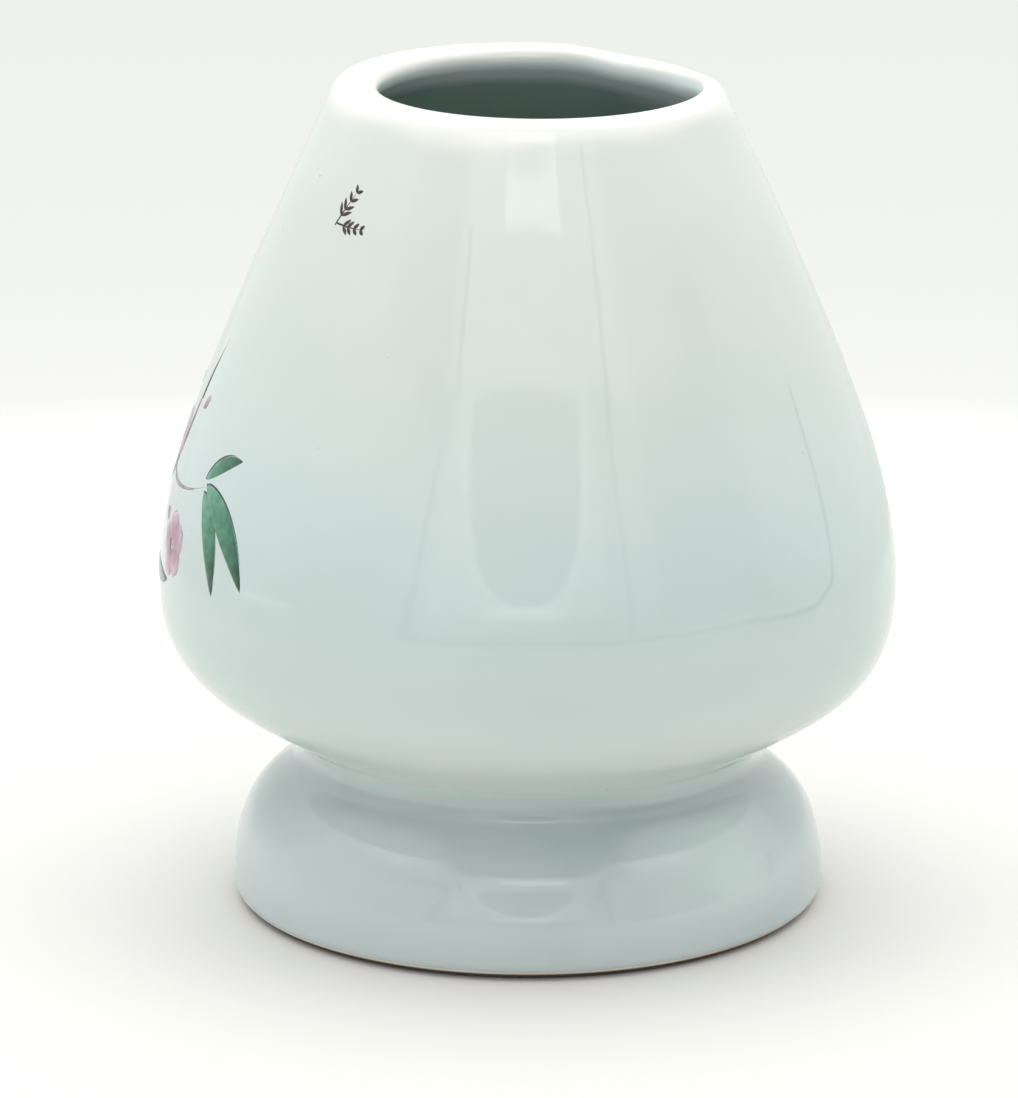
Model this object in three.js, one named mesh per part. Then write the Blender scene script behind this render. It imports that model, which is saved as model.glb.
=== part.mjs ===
// Tea whisk holder: a porcelain bulb with an open mouth, luted to a hollow spreading foot.
// Millimetres, +Z up. The foot stands on z = 0, the axis of turning is Z, and the front faces -Y.

import * as THREE from 'three';
import { mergeVertices } from 'three/addons/utils/BufferGeometryUtils.js';

// The whole: the height over the lip, and the widest round of the bulb
const overallHeight = 68;
const bellyRadius = 30;
const bellyHeight = 26.5;

// The mouth: the wall leans in from upright and ends in a lip as round as a bead
const mouthRadius = 13;
const lipRound = 1.45;
const wallLean = THREE.MathUtils.degToRad(24.8);

// The walls of the bulb, and the shallow dome turned into the underside of its floor
const bulbWall = 3;
const floorThickness = 3.2;
const floorDome = 0.8;

// The waist: two flat seats of one width, with a ring of slip between them
const seatRadius = 18.75;
const seatWidth = 4.2;
const seamBottom = 12;
const seamThickness = 1.6;
const grooveDepth = 0.4;
const slipBead = 0.5;

// The foot: a rounded toe outside, a flat ring that stands on the table, a softened heel inside
const footRadius = 24.15;
const toeRound = 1.5;
const standingWidth = 2.6;
const heelRound = 0.8;

// Slopes, from level, at which the underside of the bulb and the top of the foot leave the waist
const undersideSlope = THREE.MathUtils.degToRad(41.8);
const footSlope = THREE.MathUtils.degToRad(31.9);

// How strongly each curve pulls at its two ends, as shares of the height that it climbs
const crownShares = { belly: 0.178, lip: 0.705 };
const undersideShares = { seat: 0.368, belly: 0.63 };
const footShares = { toe: 0.602, seat: 0.284 };
const hollowShares = { heel: 0.6, seat: 0.27 };

// The bowl inside: its pull at the wall as a share of its depth, at the floor as a share of its radius
const bowlShares = { wall: 0.66, floor: 0.74 };

// Steps round the axis and along each stretch of an outline
const roundSteps = 64;
const wallSteps = 10;
const curveSteps = 8;
const lipSteps = 8;
const edgeSteps = 3;
const beadSteps = 4;

// Places that follow from the sizes
const seamTop = seamBottom + seamThickness;
const seamMiddle = seamBottom + seamThickness / 2;
const seatInnerRadius = seatRadius - seatWidth;
const floorTop = seamTop + floorDome + floorThickness;
const lipCentre = new THREE.Vector2(mouthRadius + lipRound, overallHeight - lipRound);
const standingOuterRadius = footRadius - toeRound;
const standingInnerRadius = standingOuterRadius - standingWidth;
const hollowRadius = standingInnerRadius - heelRound;

// A curve between two points that leaves the first along one direction and meets the second against another
function swept(start, startPull, end, endPull) {
  return new THREE.CubicBezierCurve(start, start.clone().add(startPull), end.clone().add(endPull), end);
}

// A round stretch, drawn from one angle to another about a centre
function rounded(x, y, acrossRadius, upRadius, fromAngle, toAngle) {
  return new THREE.EllipseCurve(x, y, acrossRadius, upRadius, fromAngle, toAngle, toAngle < fromAngle);
}

// Joins stretches end to end, each given as a curve and its number of steps
function outlineOf(...stretches) {
  const points = [];
  for (const [curve, steps] of stretches) {
    const stretch = curve.getPoints(steps);
    if (points.length > 0) stretch.shift();
    points.push(...stretch);
  }
  return points;
}

// Turns an outline about the Z axis, as on the wheel, into one closed solid
function turned(outline) {
  const lathe = new THREE.LatheGeometry(outline, roundSteps);
  lathe.rotateX(Math.PI / 2);
  lathe.deleteAttribute('uv');
  lathe.deleteAttribute('normal');
  const solid = mergeVertices(lathe);
  solid.computeVertexNormals();
  return solid;
}

// The wall from the belly up to one side of the lip: the outer face or, with a smaller radius, the inner one
function crown(radius, lipSide) {
  const belly = new THREE.Vector2(radius, bellyHeight);
  const along = new THREE.Vector2(Math.cos(wallLean), Math.sin(wallLean));
  const top = lipCentre.clone().addScaledVector(along, lipSide * lipRound);
  const climb = top.y - bellyHeight;
  const bellyPull = new THREE.Vector2(0, crownShares.belly * climb);
  const lipPull = new THREE.Vector2(Math.sin(wallLean), -Math.cos(wallLean));
  return swept(belly, bellyPull, top, lipPull.multiplyScalar(crownShares.lip * climb));
}

// A stretch drawn the other way along
function reversed(curve) {
  return new THREE.CubicBezierCurve(curve.v3, curve.v2, curve.v1, curve.v0);
}

// The bulb: one even wall that swells from the waist, closes in to the rounded lip and returns as the cavity
function upperBody() {
  const underside = undersideOfBulb();
  const outerWall = crown(bellyRadius, 1);
  const lip = rounded(lipCentre.x, lipCentre.y, lipRound, lipRound, wallLean, Math.PI + wallLean);
  const innerWall = reversed(crown(bellyRadius - bulbWall, -1));
  const dome = rounded(0, seamTop, seatInnerRadius, floorDome, Math.PI / 2, 0);
  const seat = new THREE.LineCurve(new THREE.Vector2(seatInnerRadius, seamTop), underside.v0);
  return turned(outlineOf(
    [dome, curveSteps],
    [seat, 1],
    [underside, curveSteps],
    [outerWall, wallSteps],
    [lip, lipSteps],
    [innerWall, wallSteps],
    [bowl(), curveSteps],
  ));
}

// The outer face under the bulb, from the edge of its seat out to the belly
function undersideOfBulb() {
  const climb = bellyHeight - seamTop;
  const seatPull = new THREE.Vector2(Math.cos(undersideSlope), Math.sin(undersideSlope));
  seatPull.multiplyScalar(undersideShares.seat * climb);
  const bellyPull = new THREE.Vector2(0, -undersideShares.belly * climb);
  const edge = new THREE.Vector2(seatRadius, seamTop);
  return swept(edge, seatPull, new THREE.Vector2(bellyRadius, bellyHeight), bellyPull);
}

// The rounded bottom of the cavity, from the inside of the belly down to the middle of the floor
function bowl() {
  const innerRadius = bellyRadius - bulbWall;
  const wallPull = new THREE.Vector2(0, -bowlShares.wall * (bellyHeight - floorTop));
  const floorPull = new THREE.Vector2(bowlShares.floor * innerRadius, 0);
  const middle = new THREE.Vector2(0, floorTop);
  return swept(new THREE.Vector2(innerRadius, bellyHeight), wallPull, middle, floorPull);
}

// The luting: a ring of slip between the seats, hollowed by a wet finger outside and squeezed out inside
function lutingSeam() {
  const halfHeight = seamThickness / 2;
  const groove = rounded(seatRadius, seamMiddle, grooveDepth, halfHeight, Math.PI * 1.5, Math.PI / 2);
  const bead = rounded(seatInnerRadius, seamMiddle, slipBead, halfHeight, Math.PI / 2, Math.PI * 1.5);
  const top = new THREE.LineCurve(new THREE.Vector2(seatRadius, seamTop), new THREE.Vector2(seatInnerRadius, seamTop));
  const bottom = new THREE.LineCurve(
    new THREE.Vector2(seatInnerRadius, seamBottom),
    new THREE.Vector2(seatRadius, seamBottom),
  );
  return turned(outlineOf([groove, beadSteps], [top, 1], [bead, beadSteps], [bottom, 1]));
}

// The foot: an open ring whose wall spreads from its seat to the toe and is hollow inside up to the bulb
function pedestalFoot() {
  const toe = rounded(standingOuterRadius, toeRound, toeRound, toeRound, -Math.PI / 2, 0);
  const climb = seamBottom - toeRound;
  const toePull = new THREE.Vector2(0, footShares.toe * climb);
  const seatPull = new THREE.Vector2(Math.cos(footSlope), -Math.sin(footSlope));
  seatPull.multiplyScalar(footShares.seat * climb);
  const seatEdge = new THREE.Vector2(seatRadius, seamBottom);
  const outerWall = swept(new THREE.Vector2(footRadius, toeRound), toePull, seatEdge, seatPull);
  const seat = new THREE.LineCurve(seatEdge, new THREE.Vector2(seatInnerRadius, seamBottom));
  const heel = rounded(standingInnerRadius, heelRound, heelRound, heelRound, Math.PI, Math.PI * 1.5);
  const standingRing = new THREE.LineCurve(
    new THREE.Vector2(standingInnerRadius, 0),
    new THREE.Vector2(standingOuterRadius, 0),
  );
  return turned(outlineOf(
    [standingRing, 1],
    [toe, edgeSteps],
    [outerWall, curveSteps],
    [seat, 1],
    [reversed(hollowOfFoot()), curveSteps],
    [heel, edgeSteps],
  ));
}

// The inner face of the foot, from the top of its heel up to the inner edge of its seat
function hollowOfFoot() {
  const climb = seamBottom - heelRound;
  const heelPull = new THREE.Vector2(0, hollowShares.heel * climb);
  const seatPull = new THREE.Vector2(Math.cos(footSlope), -Math.sin(footSlope));
  seatPull.multiplyScalar(hollowShares.seat * climb);
  const heelTop = new THREE.Vector2(hollowRadius, heelRound);
  return swept(heelTop, heelPull, new THREE.Vector2(seatInnerRadius, seamBottom), seatPull);
}

// A named piece with the finish of its own glaze
function piece(name, geometry, color, roughness) {
  const material = new THREE.MeshStandardMaterial({ color, roughness, metalness: 0 });
  material.name = `${name}_porcelain`;
  const mesh = new THREE.Mesh(geometry, material);
  mesh.name = name;
  return mesh;
}

// Pale green-white glaze on the bulb, darker where it pools in the groove, slightly greyer on the foot
const whiskHolder = new THREE.Group();
whiskHolder.name = 'tea_whisk_holder';
whiskHolder.add(
  piece('upper_body', upperBody(), 0xd6e0dc, 0.1),
  piece('luting_seam', lutingSeam(), 0xa5b4b3, 0.12),
  piece('pedestal_foot', pedestalFoot(), 0xbec9c6, 0.12),
);

export default whiskHolder;
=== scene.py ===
# %% [markdown]
# # A porcelain tea whisk holder
#
# The object is a small glazed porcelain stand. A bamboo tea whisk is set over its bulb to dry in shape.
# It was thrown on the wheel in two parts, a bulb and a spreading foot, which were joined with slip at the waist,
# glazed in a pale blue-green celadon and fired. A little enamel painting was added and fired on afterwards.
#
# This lesson dresses a measured frame of the object. The frame gives the real sizes, and each piece made here
# takes its place from it. Lengths are in metres, so a length in millimetres is written as a number times `MM`.

import math

import bmesh
import bpy
import numpy as np
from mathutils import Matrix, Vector


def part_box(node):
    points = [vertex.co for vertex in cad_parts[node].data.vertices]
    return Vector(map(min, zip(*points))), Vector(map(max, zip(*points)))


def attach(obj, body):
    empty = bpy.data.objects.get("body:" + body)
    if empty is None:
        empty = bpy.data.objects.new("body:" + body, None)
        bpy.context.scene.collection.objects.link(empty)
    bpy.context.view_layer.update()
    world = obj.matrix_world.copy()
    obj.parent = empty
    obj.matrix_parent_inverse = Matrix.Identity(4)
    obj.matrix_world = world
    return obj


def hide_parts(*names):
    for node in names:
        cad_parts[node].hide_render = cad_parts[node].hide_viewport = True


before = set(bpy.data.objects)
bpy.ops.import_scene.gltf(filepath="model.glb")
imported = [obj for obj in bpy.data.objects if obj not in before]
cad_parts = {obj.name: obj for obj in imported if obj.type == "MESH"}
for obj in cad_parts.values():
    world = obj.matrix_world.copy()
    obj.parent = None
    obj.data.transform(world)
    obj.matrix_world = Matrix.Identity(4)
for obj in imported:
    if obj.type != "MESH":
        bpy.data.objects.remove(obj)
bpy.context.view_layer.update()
print("frame nodes:", sorted(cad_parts))

# %% [markdown]
# ## Sizes taken from the frame
#
# A turned pot is known by a few radii and heights. They are read from the boxes of the frame's nodes, so the
# fine surfaces made below always fit the measured solids. What a box can't tell, such as how strongly a curve
# swells, is written once here as a share of the height that the curve climbs.

# %% Read the sizes
MM = 0.001

bulb_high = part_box("upper_body")[1]
seam_low, seam_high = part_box("luting_seam")
foot_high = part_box("pedestal_foot")[1]

BELLY_RADIUS = bulb_high.x
TOP_HEIGHT = bulb_high.z
SEAT_RADIUS = seam_high.x
SEAM_BOTTOM = seam_low.z
SEAM_TOP = seam_high.z
FOOT_RADIUS = foot_high.x

BELLY_HEIGHT = 26.5 * MM
MOUTH_RADIUS = 13.0 * MM
LIP_ROUND = 1.45 * MM
WALL_LEAN = math.radians(24.8)
BULB_WALL = 3.0 * MM
FLOOR_DOME = 0.8 * MM
FLOOR_THICKNESS = 3.2 * MM
SEAT_WIDTH = 4.2 * MM
GROOVE_PULL = 0.62 * MM
SLIP_BEAD = 0.5 * MM
TOE_ROUND = 1.5 * MM
STANDING_WIDTH = 2.6 * MM
HEEL_ROUND = 0.8 * MM
UNDERSIDE_SLOPE = math.radians(35.0)
FOOT_SLOPE = math.radians(60.0)
HOLLOW_SLOPE = math.radians(31.9)

CROWN_SHARES = {"belly": 0.178, "lip": 0.705}
UNDERSIDE_SHARES = {"seat": 0.51, "belly": 0.632}
FOOT_SHARES = {"toe": 0.82, "seat": 0.24}
HOLLOW_SHARES = {"heel": 0.6, "seat": 0.27}
BOWL_SHARES = {"wall": 0.66, "floor": 0.74}

SEAT_INNER_RADIUS = SEAT_RADIUS - SEAT_WIDTH
FLOOR_TOP = SEAM_TOP + FLOOR_DOME + FLOOR_THICKNESS
STANDING_OUTER = FOOT_RADIUS - TOE_ROUND
STANDING_INNER = STANDING_OUTER - STANDING_WIDTH

print("height %.1f mm, belly across %.1f mm, foot across %.1f mm"
      % (TOP_HEIGHT / MM, 2 * BELLY_RADIUS / MM, 2 * FOOT_RADIUS / MM))

# %% [markdown]
# ## Curves for the outlines
#
# A potter's outline is a few long curves that flow into each other. Each one here is a cubic curve given by its
# two ends and the direction and pull at each end, or a round stretch of an ellipse. The first number of a point is
# the distance from the axis and the second is the height. Drawing the curves finely, instead of smoothing a coarse
# mesh, keeps every radius exact.

# %% Curve helpers
def swept(start, start_pull, end, end_pull, steps):
    """Points of a curve that leaves start along one pull and comes into end from the other."""
    t = np.linspace(0, 1, steps + 1)[:, None]
    p0, p3 = np.array(start, float), np.array(end, float)
    p1, p2 = p0 + np.array(start_pull, float), p3 + np.array(end_pull, float)
    return (1 - t) ** 3 * p0 + 3 * (1 - t) ** 2 * t * p1 + 3 * (1 - t) * t ** 2 * p2 + t ** 3 * p3


def rounded(centre, across, up, start_angle, end_angle, steps):
    """Points of a round stretch about a centre, between two angles."""
    t = np.linspace(start_angle, end_angle, steps + 1)
    return np.stack([centre[0] + across * np.cos(t), centre[1] + up * np.sin(t)], axis=1)


def joined(*stretches):
    """One outline from stretches that meet end to end."""
    return np.concatenate([stretches[0]] + [s[1:] for s in stretches[1:]])


def along(angle, length):
    """A step or a pull of a given length at an angle from level."""
    return length * np.array([math.cos(angle), math.sin(angle)])


# %% [markdown]
# ## The pool of glaze in the groove
#
# Glaze ran down into the groove of the waist and rounded it out. To find its surface, a ball is laid in the groove
# and moved, in turn, until it just touches the underside of the bulb and the top of the foot. Every point of an outer
# face between the two touching points is then drawn out onto the ball, so three pieces share one smooth round.

# %% Lay a ball in the groove
POOL_ROUND = 1.9 * MM
BALL_MOVES = 80


def underside(steps):
    """The outer face from the seat's edge to the belly."""
    climb = BELLY_HEIGHT - SEAM_TOP
    return swept((SEAT_RADIUS, SEAM_TOP), along(UNDERSIDE_SLOPE, UNDERSIDE_SHARES["seat"] * climb),
                 (BELLY_RADIUS, BELLY_HEIGHT), (0, -UNDERSIDE_SHARES["belly"] * climb), steps)


def top_of_foot(steps):
    """The outer face from the toe up to the seat's edge."""
    climb = SEAM_BOTTOM - TOE_ROUND
    return swept((FOOT_RADIUS, TOE_ROUND), (0, FOOT_SHARES["toe"] * climb), (SEAT_RADIUS, SEAM_BOTTOM),
                 along(-FOOT_SLOPE, FOOT_SHARES["seat"] * climb), steps)


ball = np.array([SEAT_RADIUS + POOL_ROUND, (SEAM_BOTTOM + SEAM_TOP) / 2])
for _ in range(BALL_MOVES):
    touching = []
    for face in (underside(600), top_of_foot(600)):
        away = face - ball
        nearest = away[np.argmin(np.hypot(*away.T))]
        ball = ball + nearest * (1 - POOL_ROUND / np.hypot(*nearest))
        touching.append(math.atan2(nearest[1], nearest[0]) % (2 * math.pi))


def pooled(face):
    """An outer face whose points between the two touching points are drawn onto the ball."""
    away = face - ball
    angle = np.arctan2(away[:, 1], away[:, 0]) % (2 * math.pi)
    in_pool = (angle > touching[0]) & (angle < touching[1])
    onto = ball + away * (POOL_ROUND / np.hypot(*away.T))[:, None]
    return np.where(in_pool[:, None], onto, face)


print("ball at", np.round(ball / MM, 2), "mm, touching at", np.round(np.degrees(touching), 1), "degrees")

# %% [markdown]
# ## The outline of the bulb
#
# The bulb is one even wall. Starting under the floor, the outline runs out along the flat seat, swells to the belly,
# closes in almost straight to the lip, turns over the lip like a bead and comes back down as the cavity.

# %% Draw the bulb's outline
LIP_CENTRE = (MOUTH_RADIUS + LIP_ROUND, TOP_HEIGHT - LIP_ROUND)


def crown(radius, side, steps):
    """The wall from the belly up to the outer (side 1) or inner (side -1) edge of the lip."""
    top = LIP_CENTRE + along(WALL_LEAN, side * LIP_ROUND)
    climb = top[1] - BELLY_HEIGHT
    lip_pull = along(WALL_LEAN - math.pi / 2, CROWN_SHARES["lip"] * climb)
    return swept((radius, BELLY_HEIGHT), (0, CROWN_SHARES["belly"] * climb), top, lip_pull, steps)


def bulb_outline():
    """The whole outline of the bulb, from the middle of its underside to the middle of its floor."""
    dome = rounded((0, SEAM_TOP), SEAT_INNER_RADIUS, FLOOR_DOME, math.pi / 2, 0, 16)
    seat = np.array([(SEAT_INNER_RADIUS, SEAM_TOP), OUTER_FACE[0]])
    lip = rounded(LIP_CENTRE, LIP_ROUND, LIP_ROUND, WALL_LEAN, math.pi + WALL_LEAN, 28)
    inner_radius = BELLY_RADIUS - BULB_WALL
    bowl = swept((inner_radius, BELLY_HEIGHT), (0, -BOWL_SHARES["wall"] * (BELLY_HEIGHT - FLOOR_TOP)),
                 (0, FLOOR_TOP), (BOWL_SHARES["floor"] * inner_radius, 0), 36)
    return joined(dome, seat, OUTER_FACE, lip, crown(inner_radius, -1, 60)[::-1], bowl)


OUTER_FACE = joined(pooled(underside(150)), crown(BELLY_RADIUS, 1, 90))
BULB_OUTLINE = bulb_outline()
CREST_INDEX = int(np.argmax(BULB_OUTLINE[:, 1]))
print("bulb outline:", len(BULB_OUTLINE), "points")

# %% [markdown]
# ## The potter's hand
#
# A thrown pot isn't a perfect body of revolution. This opening is slightly oval and sits a little to one side, so the
# lip is broader on the left. The rim tips down towards the front and the right, and sags at the back right. The bulb
# was also set down a hair lower on the right at the waist. All of it is one smooth push of space, so pieces that
# meet stay together when each is pushed by it.

# %% Push a point as the hand did
MOUTH_SHIFT = 0.8 * MM
MOUTH_OVAL = 0.4 * MM
MOUTH_OVAL_TURN = math.radians(-45)
RIM_TIP = 0.16 * MM
RIM_NOD = 0.12 * MM
TIP_HINGE = 0.84
LIP_PINCH = 0.28 * MM
RIM_DIP = 0.46 * MM
RIM_DIP_ZONE = tuple(math.radians(a) for a in (-2, 30, 55, 82))
WAIST_TIP = 0.3 * MM
RIPPLE = 0.012 * MM
RIPPLE_RISE = 9.0 * MM
RIPPLE_ZONE = (5 * MM, 12 * MM)
LIP_ZONE = (58 * MM, 67 * MM)
WAIST_ZONE = (6 * MM, 13 * MM, 19 * MM, 28 * MM)


def ease(value, start, end):
    """0 before start, 1 after end and a smooth step between."""
    t = np.clip((value - start) / (end - start), 0, 1)
    return t * t * (3 - 2 * t)


def hump(value, zone, drop=1.0):
    """Rises from 0 to 1 between the first two values of a zone and drops again between the last two."""
    return ease(value, *zone[:2]) * (1 - drop * ease(value, *zone[2:]))


def by_hand(points):
    """Points of the perfect shape, pushed to where the hand left them."""
    x, y, z = points.T.copy()
    r = np.hypot(x, y)
    turn = np.arctan2(y, x)
    near_lip = ease(z, *LIP_ZONE)
    ripple = RIPPLE * np.sin(2 * math.pi * z / RIPPLE_RISE + turn) * ease(r, *RIPPLE_ZONE) - RIPPLE
    inside_lip = near_lip * (1 - ease(r, MOUTH_RADIUS, LIP_CENTRE[0]))
    pinch = inside_lip * (LIP_PINCH * np.cos(turn) ** 2 - MOUTH_OVAL * np.cos(2 * (turn - MOUTH_OVAL_TURN)))
    grow = 1 + (ripple - pinch) / np.maximum(r, MM)
    dip = RIM_DIP * hump(turn, RIM_DIP_ZONE)
    tip = RIM_TIP * (x / MOUTH_RADIUS + TIP_HINGE) + RIM_NOD / 2 * (1 - y / MOUTH_RADIUS)
    lower = (tip + dip) * near_lip + WAIST_TIP * (x / FOOT_RADIUS) * hump(z, WAIST_ZONE)
    return np.stack([x * grow + MOUTH_SHIFT * inside_lip, y * grow, z - lower], axis=1)


# %% [markdown]
# ## Turning an outline
#
# Every piece of the pot is an outline carried round the axis. The helper makes a ring of points for each point of the
# outline, joins neighbouring rings with four-sided faces and closes the middle with a fan where the outline meets
# the axis. Real creases, such as the edges of a seat, are marked sharp, and the rest is shaded smooth. The glaze runs
# over the joints at the waist without a break, so there the direction of the surface is worked out from the ball in
# the groove, pushed by hand like the surface itself, and given outright.

# %% Turning helpers
ROUND_STEPS = 480
CREASE_ANGLE = math.radians(38)
ON_AXIS = 1e-7
ON_BALL = 1e-4
NUDGE = 0.01 * MM
TINY = 1e-20


def mesh_object(name, points, faces, material):
    """A mesh object from points and faces, shaded smooth except at creases."""
    mesh = bpy.data.meshes.new(name)
    mesh.from_pydata([tuple(p) for p in points], [], faces)
    mesh.update()
    mesh.shade_smooth()
    mesh.set_sharp_from_angle(angle=CREASE_ANGLE)
    mesh.materials.append(material)
    piece = bpy.data.objects.new(name, mesh)
    bpy.context.scene.collection.objects.link(piece)
    return piece


def turned(outline, closed):
    """Points, faces and the outline index of each point for an outline carried round the axis."""
    turn = np.linspace(0, 2 * math.pi, ROUND_STEPS, endpoint=False)
    points, index_of, rings = [], [], []
    for i, (r, z) in enumerate(outline):
        start = len(points)
        on_axis = r < ON_AXIS
        ring = [(0, 0, z)] if on_axis else [(r * math.cos(a), r * math.sin(a), z) for a in turn]
        points += ring
        index_of += [i] * len(ring)
        rings.append([start] * ROUND_STEPS if on_axis else list(range(start, start + ROUND_STEPS)))
    faces = []
    for low, high in zip(rings, rings[1:] + rings[:1] if closed else rings[1:]):
        for a in range(ROUND_STEPS):
            b = (a + 1) % ROUND_STEPS
            corners = [low[a], low[b], high[b], high[a]]
            faces.append([c for n, c in enumerate(corners) if c not in corners[:n]])
    return np.array(points), faces, np.array(index_of)


def share_round(piece, points):
    """Gives the faces of the pool one shared direction, so that no joint shows between the pieces."""
    mesh = piece.data
    r = np.maximum(np.hypot(points[:, 0], points[:, 1]), TINY)
    reach = (ball - np.stack([r, points[:, 2]], axis=1)) / POOL_ROUND
    in_pool = (np.abs(np.hypot(*reach.T) - 1) < ON_BALL) & (r > SEAT_RADIUS)
    toward_ball = np.stack([points[:, 0] / r * reach[:, 0], points[:, 1] / r * reach[:, 0], reach[:, 1]], axis=1)
    around = np.stack([-points[:, 1] / r, points[:, 0] / r, 0 * r], axis=1)
    pushed = by_hand(points)
    outward = np.cross(by_hand(points + NUDGE * around) - pushed,
                       by_hand(points + NUDGE * np.cross(toward_ball, around)) - pushed)
    outward /= np.maximum(np.linalg.norm(outward, axis=1), TINY)[:, None]
    given = np.zeros((len(mesh.loops), 3))
    for polygon in mesh.polygons:
        corners = list(polygon.vertices)
        if in_pool[corners].any() and r[corners].min() > SEAT_RADIUS:
            loops = slice(polygon.loop_start, polygon.loop_start + len(corners))
            given[loops] = outward[corners] * in_pool[corners, None]
    mesh.normals_split_custom_set(given)


def give_attribute(piece, name, values):
    """Stores one number per point, for a material to read."""
    attribute = piece.data.attributes.new(name, "FLOAT", "POINT")
    attribute.data.foreach_set("value", np.asarray(values, np.float32))


# %% [markdown]
# ## Material helpers
#
# Colours are written as sRGB hex values, as a colour picker shows them, and one function turns them to the linear
# values that light is added up in. Another small function adds a shader node with its settings and its links: an
# input that is given a socket is linked to it, one that is given a node is linked to the node's first output, and one
# that is given a number or a colour is set.
#
# The finishes of the pot are alike in two ways, so each of these has a helper too: a value that a slow noise makes
# uneven, and a coat with a small bump.

# %% Colour and node helpers
NOISE_LOW, NOISE_HIGH = 0.3, 0.7


def linear(hex_colour):
    """An sRGB hex colour as linear red, green, blue and alpha."""
    values = [int(hex_colour[i:i + 2], 16) / 255 for i in (1, 3, 5)]
    return tuple(v / 12.92 if v <= 0.04045 else ((v + 0.055) / 1.055) ** 2.4 for v in values) + (1.0,)


def add_node(tree, kind, inputs=(), **settings):
    """Adds a node, applies its settings and fills its inputs, given as (input, value, socket or node) pairs."""
    node = tree.nodes.new("ShaderNode" + kind)
    for name, value in settings.items():
        setattr(node, name, value)
    for key, value in inputs:
        source = value.outputs[0] if isinstance(value, bpy.types.Node) else value
        if isinstance(source, bpy.types.NodeSocket):
            tree.links.new(source, node.inputs[key])
        else:
            node.inputs[key].default_value = value
    return node


def new_material(name):
    """An empty node material and its tree."""
    material = bpy.data.materials.new(name)
    material.use_nodes = True
    material.node_tree.nodes.clear()
    return material, material.node_tree


def set_ramp(node, stops):
    """Fills a colour ramp with (position, hex colour) stops."""
    ramp = node.color_ramp
    while len(ramp.elements) < len(stops):
        ramp.elements.new(1.0)
    for element, (position, colour) in zip(ramp.elements, stops):
        element.position = position
        element.color = linear(colour)
    return node


def made_uneven(tree, place, attribute, size, spread):
    """A number stored on the mesh, shifted up and down by a noise, and that noise."""
    stored = add_node(tree, "Attribute", attribute_name=attribute).outputs["Fac"]
    noise = add_node(tree, "TexNoise", [("Vector", place), ("Scale", 1 / size), ("Detail", 3.0)])
    shift = add_node(tree, "MapRange", [("Value", noise), ("From Min", NOISE_LOW), ("From Max", NOISE_HIGH),
                     ("To Min", -spread), ("To Max", spread)])
    return add_node(tree, "Math", [(0, stored), (1, shift)], operation="ADD"), noise


def coated(material, colour, roughness, ior, height, distance):
    """The material, finished with one coat that has a colour, a gloss and a bump."""
    tree = material.node_tree
    bump = add_node(tree, "Bump", [("Height", height), ("Distance", distance)])
    coat = add_node(tree, "BsdfPrincipled", [("Base Color", colour), ("Roughness", roughness), ("IOR", ior),
                    ("Normal", bump)])
    add_node(tree, "OutputMaterial", [("Surface", coat)])
    print("made", material.name)
    return material


# %% [markdown]
# ## Celadon glaze over porcelain
#
# The real finish is a clear glass about a third of a millimetre thick, tinted blue-green by a trace of iron, over a
# white clay body. Where the glaze runs thin, on the lip, the white shows through; where it gathers, in the groove of
# the waist, it turns blue-grey. So each point of the mesh carries a number, the depth of the glaze, and a colour ramp
# turns depth into colour. That number also carries painted light and shade: the blue-grey of the groove is partly
# painted shade, as are the darker foot and the dark cavity; the underside and the right are painted lighter, and the
# wavy edge of the white lip is partly a painted highlight. Fired glass has an IOR of about 1.5 and a roughness of a
# few hundredths. A slow noise gives the cloudiness of a hand-dipped glaze, and a fine sparse one the pinholes and
# iron specks, a fifth of a millimetre across and a few millimetres apart.

# %% Make the celadon glaze
# The deep end of the ramp is partly painted shade: the stops near 0.8 serve the groove and the foot, and the last
# stop is the painted shade of the cavity.
GLAZE_AND_SHADE_STOPS = [(0.0, "#f8f7f2"), (0.2, "#e1e5e0"), (0.35, "#d5ddd8"), (0.5, "#cbdad8"), (0.62, "#c4d2d0"),
               (0.78, "#bfcacb"), (1.0, "#8ca29a")]
GLAZE_IOR = 1.52
GLAZE_ROUGHNESS = 0.045
CLOUD_SIZE = 14 * MM
CLOUD_DEPTH = 0.035
SPECK_SPACING = 3.2 * MM
SPECK_RADIUS = 0.11 * MM
SPECK_PALEST, SPECK_DARKEST = 0.45, 0.8
WAVE_SIZE = 5 * MM
WAVE_HEIGHT = 0.006 * MM


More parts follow.
